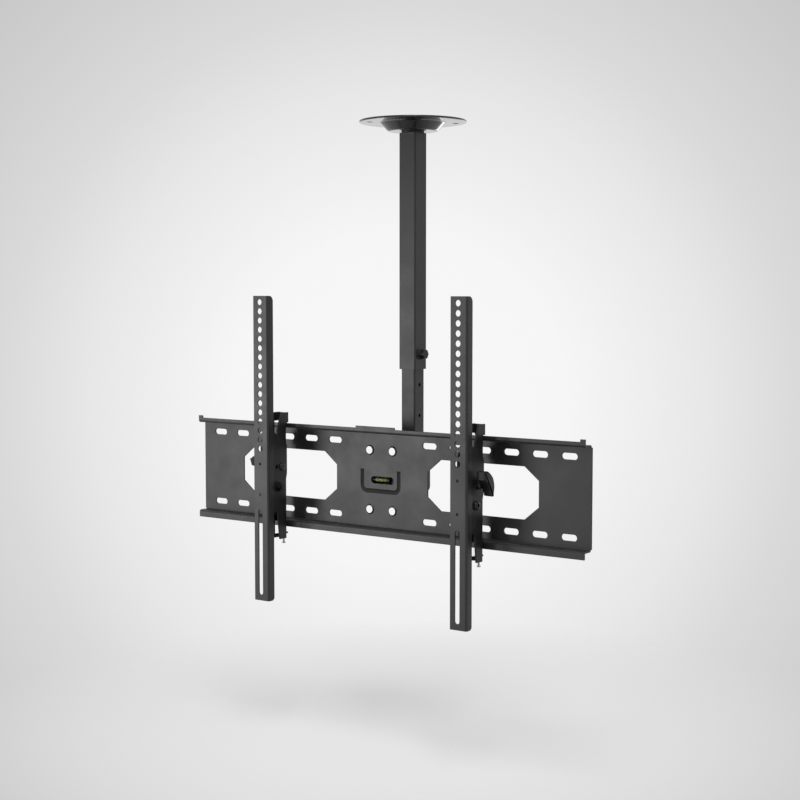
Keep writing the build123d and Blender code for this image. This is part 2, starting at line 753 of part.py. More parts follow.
    # Arm: an angle with its flange on the right, the same pressing on both sides
    with BuildPart() as arm:
        with BuildSketch(Plane.XY.offset(panel_z + arm_bottom)):
            with BuildLine():
                FilletPolyline(
                    (arm_x - ear_x, arm_front_y + arm_sheet / 2),
                    (arm_x + ear_x - arm_sheet / 2, arm_front_y + arm_sheet / 2),
                    (arm_x + ear_x - arm_sheet / 2, flange_y),
                    radius=arm_fold_r + arm_sheet / 2,
                )
            trace(line_width=arm_sheet)
        extrude(amount=arm_top - arm_bottom)
        with BuildSketch(side_plane(arm_x - ear_x, 0, panel_z)) as outline:
            Polygon((arm_front_y, arm_bottom), (flange_y, arm_bottom), (flange_y, arm_top),
                    (arm_front_y, arm_top), align=None)
            rear = [v for v in outline.vertices() if v.X > flange_y - 0.1]
            fillet([v for v in rear if v.Y > 0], radius=arm_top_r)
            rear = [v for v in outline.vertices() if v.X > flange_y - 0.1]
            fillet([v for v in rear if v.Y < 0], radius=arm_bottom_r)
        extrude(amount=arm_w, mode=Mode.INTERSECT)
        # Row of screen bolt holes, two small holes and the long slot below them
        with BuildSketch(Plane.XZ.offset(-arm_front_y)):
            for n in range(arm_hole_count):
                row = panel_z + arm_top - arm_hole_below_top - n * arm_hole_pitch
                with Locations((arm_x + arm_hole_line, row)):
                    Circle(arm_hole_d / 2)
            with Locations(*[(arm_x + arm_hole_line, panel_z + row) for row in arm_small_holes]):
                Circle(arm_small_hole_d / 2)
            with Locations((arm_x + arm_hole_line, panel_z + arm_slot_top - arm_slot_l / 2)):
                SlotOverall(arm_slot_l, arm_slot_w, rotation=90)
        extrude(amount=-arm_sheet, mode=Mode.SUBTRACT)
    save(arm.part, f"arm_{side_name}")

    # Tilt plate with the pivot hole, the stud hole and the sight hole beside it
    turn = radians(stud_angle + sight_hole_turn)
    with BuildPart() as tilt_plate:
        with BuildSketch(side_plane(arm_x + tilt_in_x, 0, panel_z)) as outline:
            Polygon(*tilt_outline, align=None)
            fillet([v for v in outline.vertices() if v.X > tilt_front_y + 1],
                   radius=tilt_plate_round)
        extrude(amount=tilt_plate_t)
        with BuildSketch(side_plane(arm_x + tilt_in_x, pivot_y, pivot_z)):
            Circle(pivot_d / 2 + running_gap)
            with Locations((stud_back, stud_up)):
                Circle(stud_d / 2 + running_gap)
            with Locations((stud_r * cos(turn), stud_r * sin(turn))):
                Circle(sight_hole_d / 2)
        extrude(amount=tilt_plate_t, mode=Mode.SUBTRACT)
    save(tilt_plate.part, f"tilt_plate_{side_name}")

    # Tilt pivot: a button-head bolt whose head faces outboard, with a washer and a nut
    faces = [
        side_plane(arm_x + tilt_out_x, pivot_y, pivot_z),
        side_plane(arm_x - hanger_half_w - seat_gap, pivot_y, pivot_z, way=-1),
    ]
    head_face, nut_face = faces if out == 1 else reversed(faces)
    pivot_hole = pivot_d + 2 * running_gap
    save(round_bolt(head_face, pivot_head_d, pivot_head_h, pivot_d,
                    bolt_span + pivot_washer_t + nut_m8_h + thread_out, pivot_socket,
                    pivot_socket_depth), f"pivot_bolt_{side_name}")
    save(washer(nut_face, pivot_washer_d, pivot_hole, pivot_washer_t), f"pivot_washer_{side_name}")
    save(hex_nut(nut_face.offset(pivot_washer_t), hex_m8, pivot_hole, nut_m8_h),
         f"pivot_nut_{side_name}")

    # Tilt stud with its head inboard and a washer under the knob outboard
    faces = [
        side_plane(arm_x + tilt_out_x, stud_y, stud_z),
        side_plane(arm_x - hanger_half_w - seat_gap, stud_y, stud_z, way=-1),
    ]
    knob_face, stud_face = faces if out == 1 else reversed(faces)
    save(round_bolt(stud_face, stud_head_d, stud_head_h, stud_d,
                    bolt_span + knob_washer_t + seat_gap + stud_in_knob), f"tilt_stud_{side_name}")
    save(washer(knob_face, knob_washer_d, stud_d + 2 * running_gap, knob_washer_t),
         f"knob_washer_{side_name}")

    # Tilt knob: a round hub with one curved wing that a thumb pushes
    knob_base = knob_face.offset(knob_washer_t + seat_gap)
    turn = radians(knob_turns[side_name])
    wing = [(y * cos(turn) - z * sin(turn), y * sin(turn) + z * cos(turn)) for y, z in knob_wing]
    with BuildPart() as knob:
        with BuildSketch(knob_base.offset(knob_stand_off)) as grip:
            Polygon(*[(out * y, z) for y, z in wing], align=None)
            fillet(grip.vertices(), radius=knob_wing_r)
        extrude(amount=knob_wing_h)
        fillet(knob.faces().sort_by(Axis((0, 0, 0), (out, 0, 0)))[-1].edges(), radius=knob_round)
        with BuildSketch(knob_base):
            Circle(knob_hub_d / 2)
        extrude(amount=knob_hub_h)
        with BuildSketch(knob_base):
            Circle(stud_d / 2 + running_gap)
        extrude(amount=stud_in_knob + seat_gap, mode=Mode.SUBTRACT)
    save(knob.part, f"knob_{side_name}")
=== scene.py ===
import bmesh
import bpy
import json
import math
from mathutils import Euler, Matrix, Vector


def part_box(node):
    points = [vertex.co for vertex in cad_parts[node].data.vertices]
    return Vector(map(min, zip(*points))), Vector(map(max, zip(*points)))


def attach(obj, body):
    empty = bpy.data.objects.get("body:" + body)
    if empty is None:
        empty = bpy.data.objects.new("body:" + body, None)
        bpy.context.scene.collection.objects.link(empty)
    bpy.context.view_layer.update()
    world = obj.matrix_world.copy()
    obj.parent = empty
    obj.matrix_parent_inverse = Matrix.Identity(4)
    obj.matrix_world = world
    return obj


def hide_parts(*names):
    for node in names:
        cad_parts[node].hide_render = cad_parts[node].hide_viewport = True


# TV ceiling mount: finishes, small made pieces, studio floor, lights and camera.
# Everything is in metres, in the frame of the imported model.

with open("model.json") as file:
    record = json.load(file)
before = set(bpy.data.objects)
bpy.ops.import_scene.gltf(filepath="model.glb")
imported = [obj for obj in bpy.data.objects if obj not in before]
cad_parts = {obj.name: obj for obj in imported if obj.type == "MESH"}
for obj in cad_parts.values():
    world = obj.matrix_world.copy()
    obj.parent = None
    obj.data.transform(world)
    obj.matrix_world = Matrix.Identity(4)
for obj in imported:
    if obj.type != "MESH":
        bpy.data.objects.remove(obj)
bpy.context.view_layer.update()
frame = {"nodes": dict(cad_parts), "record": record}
nodes = frame["nodes"]
sides = {"left": -1, "right": 1}        # each side with its outward direction along X
mm = 0.001


# Shader effects that several finishes share

def effect_group(name, inputs, outputs):
    """A shader node group with float inputs (name, value) and outputs (name, socket type)."""
    tree = bpy.data.node_groups.new(name, "ShaderNodeTree")
    for label, value in inputs:
        socket = tree.interface.new_socket(name=label, in_out="INPUT", socket_type="NodeSocketFloat")
        socket.default_value = value
    for label, kind in outputs:
        tree.interface.new_socket(name=label, in_out="OUTPUT", socket_type=kind)
    return tree, tree.nodes.new("NodeGroupInput"), tree.nodes.new("NodeGroupOutput")


def feed(tree, socket, value):
    """Set a socket to a number, or link another node's output to it."""
    if isinstance(value, (int, float)):
        socket.default_value = value
    else:
        tree.links.new(value, socket)


def add_math(tree, operation, a, b=None, clamp=False):
    step = tree.nodes.new("ShaderNodeMath")
    step.operation = operation
    step.use_clamp = clamp
    feed(tree, step.inputs[0], a)
    if b is not None:
        feed(tree, step.inputs[1], b)
    return step.outputs[0]


def add_noise(tree, vector, scale, detail=3.0, roughness=0.55):
    noise = tree.nodes.new("ShaderNodeTexNoise")
    tree.links.new(vector, noise.inputs["Vector"])
    feed(tree, noise.inputs["Scale"], scale)
    noise.inputs["Detail"].default_value = detail
    noise.inputs["Roughness"].default_value = roughness
    return noise.outputs["Fac"]


def map_range(tree, value, low, high, to_low, to_high):
    step = tree.nodes.new("ShaderNodeMapRange")
    tree.links.new(value, step.inputs["Value"])
    feed(tree, step.inputs["From Min"], low)
    feed(tree, step.inputs["From Max"], high)
    feed(tree, step.inputs["To Min"], to_low)
    feed(tree, step.inputs["To Max"], to_high)
    return step.outputs["Result"]


def object_place(tree):
    """The point on the surface, in the object's own coordinates."""
    return tree.nodes.new("ShaderNodeTexCoord").outputs["Object"]


def make_coat_grain():
    """Fine orange-peel of a powder coat, or the etched grain of moulded plastic."""
    tree, given, out = effect_group(
        "coat_grain", [("Grain Size", 0.0006), ("Pit Share", 0.35)], [("Height", "NodeSocketFloat")])
    place = object_place(tree)
    scale = add_math(tree, "DIVIDE", 1.0, given.outputs["Grain Size"])
    peel = add_noise(tree, place, scale, detail=2.0)
    pits = tree.nodes.new("ShaderNodeTexVoronoi")
    tree.links.new(place, pits.inputs["Vector"])
    tree.links.new(scale, pits.inputs["Scale"])
    pit_depth = add_math(tree, "MULTIPLY", pits.outputs["Distance"], given.outputs["Pit Share"])
    tree.links.new(add_math(tree, "ADD", peel, pit_depth), out.inputs["Height"])
    return tree


def make_tone_drift():
    """Slow variation over a surface, between a low and a high factor."""
    tree, given, out = effect_group(
        "tone_drift", [("Patch Size", 0.12), ("Low", 0.92), ("High", 1.08)],
        [("Factor", "NodeSocketFloat")])
    place = object_place(tree)
    scale = add_math(tree, "DIVIDE", 1.0, given.outputs["Patch Size"])
    cloud = add_noise(tree, place, scale, detail=4.0, roughness=0.6)
    thin, dense = 0.3, 0.7
    factor = map_range(tree, cloud, thin, dense, given.outputs["Low"], given.outputs["High"])
    tree.links.new(factor, out.inputs["Factor"])
    return tree


def make_edge_rub():
    """A rounded normal for the sheet's cut edges and a broken mask where those edges rub."""
    tree, given, out = effect_group(
        "edge_rub", [("Radius", 0.0005), ("Break Size", 0.004), ("Amount", 0.5)],
        [("Normal", "NodeSocketVector"), ("Mask", "NodeSocketFloat")])
    place = object_place(tree)
    bevel = tree.nodes.new("ShaderNodeBevel")
    bevel.samples = 4
    tree.links.new(given.outputs["Radius"], bevel.inputs["Radius"])
    face = tree.nodes.new("ShaderNodeNewGeometry").outputs["Normal"]
    dot = tree.nodes.new("ShaderNodeVectorMath")
    dot.operation = "DOT_PRODUCT"
    tree.links.new(bevel.outputs["Normal"], dot.inputs[0])
    tree.links.new(face, dot.inputs[1])
    edge = add_math(tree, "SUBTRACT", 1.0, dot.outputs["Value"], clamp=True)
    scale = add_math(tree, "DIVIDE", 1.0, given.outputs["Break Size"])
    kept_from, worn_from, least_worn = 0.42, 0.66, 0.15
    broken = map_range(tree, add_noise(tree, place, scale, detail=5.0), kept_from, worn_from,
                       least_worn, 1.0)
    bend_from, bend_to = 0.04, 0.26
    worn = add_math(tree, "MULTIPLY", map_range(tree, edge, bend_from, bend_to, 0.0, 1.0), broken)
    tree.links.new(add_math(tree, "MULTIPLY", worn, given.outputs["Amount"], clamp=True),
                   out.inputs["Mask"])
    tree.links.new(bevel.outputs["Normal"], out.inputs["Normal"])
    return tree


coat_grain = make_coat_grain()
tone_drift = make_tone_drift()
edge_rub = make_edge_rub()


# Finishes: one material for each slot, and two duller coats for folded and pressed parts. The folded
# hangers and tilt plates get a darker copy of the charcoal coat, which is painted shade

mix_a, mix_b, mix_result = 6, 7, 2      # the colour sockets of a Mix node
gloss_patch_share = 0.4                 # the gloss drifts in smaller patches than the tone


def place_group(tree, group, **values):
    step = tree.nodes.new("ShaderNodeGroup")
    step.node_tree = group
    for label, value in values.items():
        step.inputs[label.replace("_", " ")].default_value = value
    return step.outputs


def solid_finish(name, colour, edge_colour, roughness, grain_size, grain_height, pit_share=0.35,
                 drift=(0.94, 1.06), patch_size=0.12, rough_drift=0.05, edge_radius=0.0005,
                 edge_amount=0.5, metallic=0.0, specular=0.5, coat=0.0, coat_roughness=0.1):
    """A coated, plated or moulded surface: drifting tone, grain, and paler rubbed edges."""
    material = bpy.data.materials.new(name)
    material.use_nodes = True
    tree = material.node_tree
    shader = tree.nodes["Principled BSDF"]
    shader.inputs["Metallic"].default_value = metallic
    shader.inputs["Specular IOR Level"].default_value = specular
    shader.inputs["Coat Weight"].default_value = coat
    shader.inputs["Coat Roughness"].default_value = coat_roughness
    tone = place_group(tree, tone_drift, Patch_Size=patch_size, Low=drift[0], High=drift[1])
    edge = place_group(tree, edge_rub, Radius=edge_radius, Amount=edge_amount)
    grain = place_group(tree, coat_grain, Grain_Size=grain_size, Pit_Share=pit_share)
    toned = tree.nodes.new("ShaderNodeVectorMath")
    toned.operation = "SCALE"
    toned.inputs[0].default_value = colour
    tree.links.new(tone["Factor"], toned.inputs["Scale"])
    rubbed = tree.nodes.new("ShaderNodeMix")
    rubbed.data_type = "RGBA"
    tree.links.new(edge["Mask"], rubbed.inputs["Factor"])
    tree.links.new(toned.outputs["Vector"], rubbed.inputs[mix_a])
    rubbed.inputs[mix_b].default_value = (*edge_colour, 1.0)
    tree.links.new(rubbed.outputs[mix_result], shader.inputs["Base Color"])
    gloss = place_group(tree, tone_drift, Patch_Size=patch_size * gloss_patch_share,
                        Low=roughness - rough_drift, High=roughness + rough_drift)
    tree.links.new(gloss["Factor"], shader.inputs["Roughness"])
    bump = tree.nodes.new("ShaderNodeBump")
    bump.inputs["Strength"].default_value = 1.0
    bump.inputs["Distance"].default_value = grain_height
    tree.links.new(grain["Height"], bump.inputs["Height"])
    tree.links.new(edge["Normal"], bump.inputs["Normal"])
    tree.links.new(bump.outputs["Normal"], shader.inputs["Normal"])
    return material


def clear_finish(name, colour, roughness, ior):
    """Clear moulded acrylic with a little drift in its gloss."""
    material = bpy.data.materials.new(name)
    material.use_nodes = True
    tree = material.node_tree
    shader = tree.nodes["Principled BSDF"]
    shader.inputs["Transmission Weight"].default_value = 1.0
    shader.inputs["IOR"].default_value = ior
    tone = place_group(tree, tone_drift, Patch_Size=0.01, Low=0.97, High=1.0)
    toned = tree.nodes.new("ShaderNodeVectorMath")
    toned.operation = "SCALE"
    toned.inputs[0].default_value = colour
    tree.links.new(tone["Factor"], toned.inputs["Scale"])
    tree.links.new(toned.outputs["Vector"], shader.inputs["Base Color"])
    gloss = place_group(tree, tone_drift, Patch_Size=0.004, Low=roughness, High=roughness * 2)
    tree.links.new(gloss["Factor"], shader.inputs["Roughness"])
    return material


finishes = {
    "charcoal_coat": solid_finish(
        "charcoal_coat", (0.036, 0.0365, 0.038), (0.12, 0.12, 0.124), roughness=0.4,
        grain_size=0.0007, grain_height=0.00002, edge_radius=0.0007, edge_amount=0.4, specular=0.55),
    # A darker, duller copy of the charcoal coat: painted shade for the hangers and tilt plates, which
    # sit in the arms' shade
    "painted_shade_bracket_coat": solid_finish(
        "painted_shade_bracket_coat", (0.026, 0.0264, 0.0275), (0.09, 0.09, 0.093), roughness=0.45,
        grain_size=0.0007, grain_height=0.00002, edge_radius=0.0006, edge_amount=0.35, specular=0.42),
    "recess_coat": solid_finish(
        "recess_coat", (0.035, 0.035, 0.037), (0.05, 0.05, 0.052), roughness=0.6,
        grain_size=0.0009, grain_height=0.00003, edge_radius=0.0003, edge_amount=0.1, specular=0.4),
    "gloss_black_coat": solid_finish(
        "gloss_black_coat", (0.012, 0.012, 0.013), (0.04, 0.04, 0.042), roughness=0.16, grain_size=0.002,
        grain_height=0.00001, rough_drift=0.03, edge_radius=0.0008, edge_amount=0.2, coat=0.5),
    "black_zinc": solid_finish(
        "black_zinc", (0.035, 0.035, 0.038), (0.2, 0.2, 0.21), roughness=0.34, grain_size=0.0004,
        grain_height=0.00001, edge_radius=0.0004, edge_amount=0.7, metallic=0.6),
    "bright_zinc": solid_finish(
        "bright_zinc", (0.55, 0.55, 0.54), (0.75, 0.75, 0.74), roughness=0.33, grain_size=0.0005,
        grain_height=0.00001, edge_radius=0.0004, edge_amount=0.6, metallic=1.0),
    "black_plastic": solid_finish(
        "black_plastic", (0.012, 0.012, 0.013), (0.04, 0.04, 0.041), roughness=0.42, grain_size=0.0005,
        grain_height=0.00003, pit_share=0.6, edge_radius=0.0008, edge_amount=0.25),
    "clear_vial": clear_finish("clear_vial", (0.8, 0.82, 0.72), 0.2, 1.4),
    "level_fluid": solid_finish(
        "level_fluid", (0.36, 0.4, 0.05), (0.4, 0.45, 0.08), roughness=0.5, grain_size=0.004,
        grain_height=0.000002, drift=(0.85, 1.1), patch_size=0.01, rough_drift=0.02, edge_amount=0.2),
}
finish_of = {part["node"]: part["material_slot"] for part in frame["record"]["subparts"]}
# The hangers and tilt plates take the darker copy of the charcoal coat, which is painted shade
for side in sides:
    finish_of[f"hanger_{side}"] = "painted_shade_bracket_coat"
    finish_of[f"tilt_plate_{side}"] = "painted_shade_bracket_coat"
for name, node in nodes.items():
    node.data.materials.clear()
    node.data.materials.append(finishes[finish_of[name]])
    for polygon in node.data.polygons:
        polygon.material_index = 0


# Small made pieces, placed from the nodes that carry them

box_of = {name: [Vector(corner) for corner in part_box(name)] for name in nodes}
centre_of = {name: (low + high) / 2 for name, (low, high) in box_of.items()}


def add_piece(mesh, name, finish, body):
    """Put a finished mesh in the scene as a piece that rides on a body."""
    if finish:
        mesh.materials.clear()
        mesh.materials.append(finishes[finish])
    piece = bpy.data.objects.new(name, mesh)
    bpy.context.scene.collection.objects.link(piece)
    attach(piece, body)
    return piece


def finish_mesh(bm, name, sharp_angle=35.0):
    """Turn a bmesh into a mesh with outward faces, smooth but for its sharp edges."""
    bmesh.ops.remove_doubles(bm, verts=bm.verts, dist=0.001 * mm)
    bmesh.ops.recalc_face_normals(bm, faces=bm.faces)
    for face in bm.faces:
        face.smooth = True
    mesh = bpy.data.meshes.new(name)
    bm.to_mesh(mesh)
    bm.free()
    mesh.set_sharp_from_angle(angle=math.radians(sharp_angle))
    return mesh


def skin_rings(bm, rings, wrap=False):
    """A skin through rings of equally many points, its two ends capped or joined."""
    loops = [[bm.verts.new(point) for point in ring] for ring in rings]
    count = len(loops[0])
    pairs = list(zip(loops, loops[1:] + loops[:1])) if wrap else list(zip(loops, loops[1:]))
    for a, b in pairs:
        for n in range(count):
            m = (n + 1) % count
            bm.faces.new((a[n], a[m], b[m], b[n]))
    if not wrap:
        bm.faces.new(loops[0])
        bm.faces.new(loops[-1])


def turn_profile(bm, profile, base, axis, steps=48):
    """Turn a closed profile of (distance along the axis, radius) points about an axis."""
    axis = Vector(axis)
    side = axis.orthogonal().normalized()
    up = axis.cross(side)
    rings = []
    for n in range(steps):
        angle = 2 * math.pi * n / steps
        out = side * math.cos(angle) + up * math.sin(angle)
        rings.append([Vector(base) + axis * along * mm + out * radius * mm
                      for along, radius in profile])
    skin_rings(bm, rings, wrap=True)


def rounded_curve(points, per_span=6):
    """Points on a smooth curve through the given flat points."""
    padded = [points[0]] + list(points) + [points[-1]]
    curve = []
    for p0, p1, p2, p3 in zip(padded, padded[1:], padded[2:], padded[3:]):
        for n in range(per_span):
            t = n / per_span
            curve.append(tuple(
                0.5 * (2 * b + (c - a) * t + (2 * a - 5 * b + 4 * c - d) * t ** 2
                       + (3 * b - a - 3 * c + d) * t ** 3)
                for a, b, c, d in zip(p0, p1, p2, p3)))
    return curve + [tuple(points[-1])]


def inset_outline(outline, inset):
    """Move each point of a closed flat outline inwards along its corner's bisector."""
    area = sum(a[0] * b[1] - b[0] * a[1] for a, b in zip(outline, outline[1:] + outline[:1]))
    way = 1 if area > 0 else -1
    moved = []
    for before, here, after in zip(outline[-1:] + outline[:-1], outline, outline[1:] + outline[:1]):
        along = (Vector(after) - Vector(before)).normalized()
        moved.append((here[0] - way * along.y * inset, here[1] + way * along.x * inset))
    return moved


# Tilt knobs: a slim waisted stem on the washer and a curved wing with rounded rims.
# The outline is seen along the stem, as (Y, Z) from the hub, in millimetres.

wing_outer = [(3.0, -16.7), (5.0, -10.1), (5.9, -0.5), (2.0, 10.2), (-7.1, 18.0), (-13.5, 20.0),
              (-20.5, 19.0)]
wing_inner = [(-20.0, 8.0), (-10.0, 1.1), (-4.3, -6.4), (-1.9, -15.4)]
wing_stand_off = 6.2
wing_height = 13.9
wing_rim = 2.2
rim_angles = (0, 22.5, 45, 67.5, 90)
knob_turn = {"left": 18.0, "right": 0.0}
stem_profile = [(0.0, 4.3), (0.0, 7.6), (0.5, 8.1), (1.4, 8.1), (2.2, 7.4), (3.2, 6.5), (5.0, 6.3),
                (6.6, 6.6), (8.4, 6.6), (8.4, 4.3)]


def knob_grip(side, out):
    low, high = box_of[f"knob_{side}"]
    hub = centre_of[f"knob_washer_{side}"]
    base = Vector((low.x if out == 1 else high.x, hub.y, hub.z))
    turn = math.radians(knob_turn[side])
    outline = [(y * math.cos(turn) - z * math.sin(turn), y * math.sin(turn) + z * math.cos(turn))
               for y, z in rounded_curve(wing_outer) + rounded_curve(wing_inner)]
    levels = [(wing_rim * (1 - math.cos(math.radians(a))), wing_rim * (1 - math.sin(math.radians(a))))
              for a in rim_angles]
    levels += [(wing_height - rise, inset) for rise, inset in reversed(levels)]
    bm = bmesh.new()
    rings = []
    for rise, inset in levels:
        x = base.x + out * (wing_stand_off + rise) * mm
        rings.append([Vector((x, base.y + y * mm, base.z + z * mm))
                      for y, z in inset_outline(outline, inset)])
    skin_rings(bm, rings)
    turn_profile(bm, stem_profile, base, (out, 0, 0))
    mesh = finish_mesh(bm, f"knob_grip_{side}")
    piece = add_piece(mesh, f"knob_grip_{side}", "black_plastic", f"{side}_knob")
    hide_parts(f"knob_{side}")


# Rolled bead around the level: its round-bottomed trough between the pressed shoulders, in
# millimetres from the mast's middle plane and the level's height. The section is (across, depth).

bead_half_w, bead_mid_x = 33.2, -1.6
bead_top, bead_bottom = 15.3, -16.5
bead_turn_r, bead_turn_steps = 8.0, 12
bead_front = 2.5        # the sheet's front, ahead of the level's holder
bead_section = [(-3.12, 0.03), (-2.1, 0.95), (-1.2, 1.6), (-0.4, 1.9), (0.4, 1.9), (1.2, 1.6),
                (2.1, 0.95), (3.12, 0.03), (1.75, 2.5), (-1.75, 2.5)]
bead_run_out = 3.0
bead_end_depth = 0.15


def bead_trough():
    middle_z = centre_of["level_holder"].z
    front_y = box_of["level_holder"][0].y - bead_front * mm
    left, right = bead_mid_x - bead_half_w, bead_mid_x + bead_half_w
    path = [(left, bead_top), (left, bead_top - bead_run_out)]
    for corner_x, start in ((left + bead_turn_r, 180.0), (right - bead_turn_r, 270.0)):
        for n in range(bead_turn_steps + 1):
            angle = math.radians(start + 90.0 * n / bead_turn_steps)
            path.append((corner_x + bead_turn_r * math.cos(angle),
                         bead_bottom + bead_turn_r * (1 + math.sin(angle))))
    path += [(right, bead_top - bead_run_out), (right, bead_top)]
    rings = []
    for n, here in enumerate(path):
        before, after = path[max(n - 1, 0)], path[min(n + 1, len(path) - 1)]
        along = (Vector(after) - Vector(before)).normalized()
        depth = bead_end_depth if n in (0, len(path) - 1) else 1.0
        rings.append([Vector(((here[0] + along.y * across) * mm, front_y + drop * depth * mm,
                              middle_z + (here[1] - along.x * across) * mm))
                      for across, drop in bead_section])
    bm = bmesh.new()
    skin_rings(bm, rings)
    add_piece(finish_mesh(bm, "bead_trough"), "bead_trough", "recess_coat", "lower_mast")


# Spirit level: two marking rings and a black cup on each end of the vial

line_shift, line_r, line_lift, line_corners = 4.6, 0.16, 0.02, 8
cup_wall, cup_lip, cup_end, cup_gap = 0.24, 0.6, 0.22, 0.01
cup_reach_left, cup_reach_right = 3.2, 4.6
cup_chamfer, cup_chamfer_wall = 0.2, 0.05


def level_trim():
    low, high = box_of["level_vial"]
    middle = centre_of["level_vial"]
    radius = (high.z - low.z) / 2 / mm
    bm = bmesh.new()
    for shift in (-line_shift, line_shift):
        ring = [(line_r * math.cos(a), radius + line_lift + line_r * math.sin(a))
                for a in (2 * math.pi * n / line_corners for n in range(line_corners))]
        turn_profile(bm, ring, (middle.x + shift * mm, middle.y, middle.z), (1, 0, 0))
    add_piece(finish_mesh(bm, "vial_lines"), "vial_lines", "black_plastic", "lower_mast")
    bm = bmesh.new()
    for end_x, way, reach in ((low.x, 1, cup_reach_left), (high.x, -1, cup_reach_right)):
        cup = [(0.0, radius - cup_lip), (-cup_end, radius - cup_lip), (-cup_end, radius),
               (0.0, radius + cup_wall), (reach, radius + cup_wall),
               (reach + cup_chamfer, radius + cup_chamfer_wall), (reach, radius + cup_gap),
               (0.0, radius + cup_gap)]
        turn_profile(bm, cup, (end_x, middle.y, middle.z), (way, 0, 0))
    add_piece(finish_mesh(bm, "vial_cups"), "vial_cups", "black_plastic", "lower_mast")


# Threads on the shanks that show, as one ridge that winds along each

thread_steps = 20       # rings in one turn
thread_fade_rings = 10
least_fade = 0.05
thread_root, thread_rise = 0.05, 0.216      # shares of the pitch, as is the section's place
thread_section = (("foot", -0.4), ("crest", -0.07), ("crest", 0.07), ("foot", 0.4))
bolt_r, bolt_pitch, bolt_start, bolt_length = 4.0, 1.25, 0.5, 1.6
screw_r, screw_pitch = 1.5, 0.5
screw_head_gap, screw_plate_gap, screw_nut_gap, screw_end_gap = 2.3, 2.9, 0.3, 0.4
mast_bolt_shift = 13.0


def thread_ridge(bm, base, axis, radius, length, pitch):
    axis = Vector(axis)
    side = axis.orthogonal().normalized()
    up = axis.cross(side)
    count = max(8, round(length / pitch * thread_steps))
    rings = []
    for n in range(count + 1):
        along = length * n / count
        angle = 2 * math.pi * along / pitch
        out = side * math.cos(angle) + up * math.sin(angle)
        fade = max(least_fade, min(1.0, n / thread_fade_rings, (count - n) / thread_fade_rings))
        reach = {"foot": radius - thread_root * pitch, "crest": radius + thread_rise * pitch * fade}
        here = Vector(base) + axis * along * mm
        rings.append([here + out * reach[part] * mm + axis * shift * pitch * mm
                      for part, shift in thread_section])
    skin_rings(bm, rings)


def thread_pieces():
    for side, out in sides.items():
        low, high = box_of[f"pivot_bolt_{side}"]
        middle = centre_of[f"pivot_washer_{side}"]
        end_x = low.x if out == 1 else high.x
        bm = bmesh.new()
        thread_ridge(bm, (end_x + out * bolt_start * mm, middle.y, middle.z), (out, 0, 0), bolt_r,
                     bolt_length, bolt_pitch)
        name = f"pivot_thread_{side}"
        add_piece(finish_mesh(bm, name), name, "black_zinc", f"{side}_arm")
        low, high = box_of[f"latch_screw_{side}"]
        nut_low, nut_high = box_of[f"latch_nut_{side}"]
        middle = centre_of[f"latch_screw_{side}"]
        below_nut = (low.z + screw_head_gap * mm, nut_low.z - screw_plate_gap * mm)
        above_nut = (nut_high.z + screw_nut_gap * mm, high.z - screw_end_gap * mm)
        bm = bmesh.new()
        for start, stop in (below_nut, above_nut):
            thread_ridge(bm, (middle.x, middle.y, start), (0, 0, 1), screw_r, (stop - start) / mm,
                         screw_pitch)
        name = f"latch_thread_{side}"
        add_piece(finish_mesh(bm, name), name, "bright_zinc", f"{side}_hanger")
    end_x = box_of["mast_bolts"][0].x
    middle = centre_of["mast_bolts"]
    bm = bmesh.new()
    for shift in (-mast_bolt_shift, mast_bolt_shift):
        thread_ridge(bm, (end_x + bolt_start * mm, middle.y, middle.z + shift * mm), (1, 0, 0), bolt_r,
                     bolt_length, bolt_pitch)
    add_piece(finish_mesh(bm, "mast_bolt_threads"), "mast_bolt_threads", "black_zinc", "lower_mast")


# Weld beads: overlapping ripples along a path, made by geometry nodes, sizes in millimetres

weld_inputs = [("Bead Width", "NodeSocketFloat", 0.003), ("Ripple Step", "NodeSocketFloat", 0.001),
               ("Seed", "NodeSocketInt", 1)]
ripple_step = 0.34      # shares of the bead's width
ripple_length = 0.62
ripple_least, ripple_most = 0.88, 1.08
foot_weld_width, foot_weld_seed = 3.4, 3
foot_weld_half, foot_weld_run = 20.0, (10.0, 20.0)
foot_weld_back, foot_weld_clear = 0.9, 0.5
plate_weld_width, plate_weld_seed = 2.4, 11
plate_weld_heights, plate_weld_half = (-44.0, 0.0, 44.0), 9.0
plate_weld_in, plate_weld_ahead = 0.1, 0.2
boss_weld_width, boss_weld_seed = 1.5, 21
boss_weld_in, boss_weld_steps = 0.2, 48


